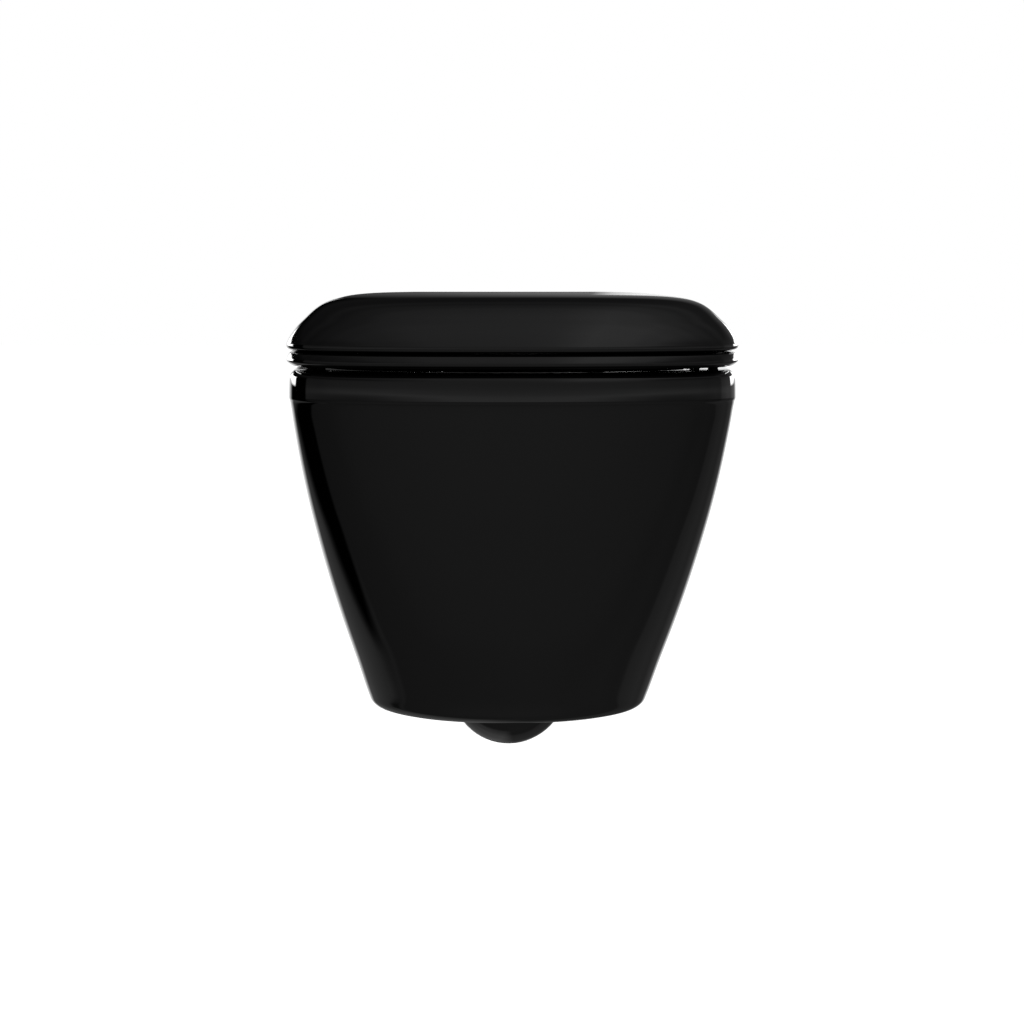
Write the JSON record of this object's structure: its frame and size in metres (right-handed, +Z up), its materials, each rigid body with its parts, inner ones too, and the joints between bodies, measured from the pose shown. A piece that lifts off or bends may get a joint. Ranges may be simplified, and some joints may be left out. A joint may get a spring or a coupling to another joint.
{
  "type": "wall-hung toilet",
  "caption": "Gloss black wall-hung toilet pan with trap, a domed soft-close lid, a seat ring and quick-release hinges.",
  "frame": {"origin": "midpoint between the two wall stud holes, on the pan's rear face, which is the wall plane", "axes": "+Y into the wall along the studs, -Y to the front of the pan, +Z up, +X to the right as seen from the front"},
  "size_m": [0.364, 0.532, 0.385],
  "materials": {
    "vitreous_china": "glossy black glaze",
    "duroplast": "glossy black moulded resin",
    "black_plastic": "satin moulding",
    "nylon": "plain moulding",
    "rubber": "soft black rubber",
    "chrome": "polished chrome plate",
    "steel": "turned stainless steel",
    "brass": "turned brass"
  },
  "bodies": {
    "pan": {"pan": "vitreous_china", "stud_sleeves": "nylon", "access_plugs": "black_plastic", "flow_guide": "black_plastic", "hinge_posts": "steel", "hinge_rosettes": "chrome", "expansion_sleeves": "rubber", "expansion_nuts": "brass", "hinge_block_left": "chrome", "hinge_block_right": "chrome", "seat_damper_rotor": "steel", "lid_damper_rotor": "steel", "seat_pin": "steel", "lid_pin": "steel", "catch_spring_left": "steel", "catch_spring_right": "steel"},
    "release_catch_left": {"release_catch_left": "chrome"},
    "release_catch_right": {"release_catch_right": "chrome"},
    "seat": {"seat_ring": "duroplast", "seat_bumpers": "rubber", "seat_damper_body": "nylon", "seat_damper_cap": "nylon", "seat_bush": "nylon"},
    "lid": {"lid": "duroplast", "lid_bumpers": "rubber", "lid_damper_body": "nylon", "lid_damper_cap": "nylon", "lid_bush": "nylon"}
  },
  "joints": [
    {"name": "seat_hinge", "type": "hinge", "parent": "pan", "child": "seat", "pos_m": [0, -0.066, 0.115], "axis": [-1, 0, 0], "range_deg": [0, 92]},
    {"name": "lid_hinge", "type": "hinge", "parent": "seat", "child": "lid", "pos_m": [0, -0.066, 0.115], "axis": [-1, 0, 0], "range_deg": [0, 94]},
    {"name": "release_left", "type": "slide", "parent": "pan", "child": "release_catch_left", "axis": [0, -1, 0], "range_m": [0, 0.003], "stiffness_N_per_m": 1500, "springref_m": -0.001, "deforming": ["catch_spring_left"]},
    {"name": "release_right", "type": "slide", "parent": "pan", "child": "release_catch_right", "axis": [0, -1, 0], "range_m": [0, 0.003], "stiffness_N_per_m": 1500, "springref_m": -0.001, "deforming": ["catch_spring_right"]}
  ]
}
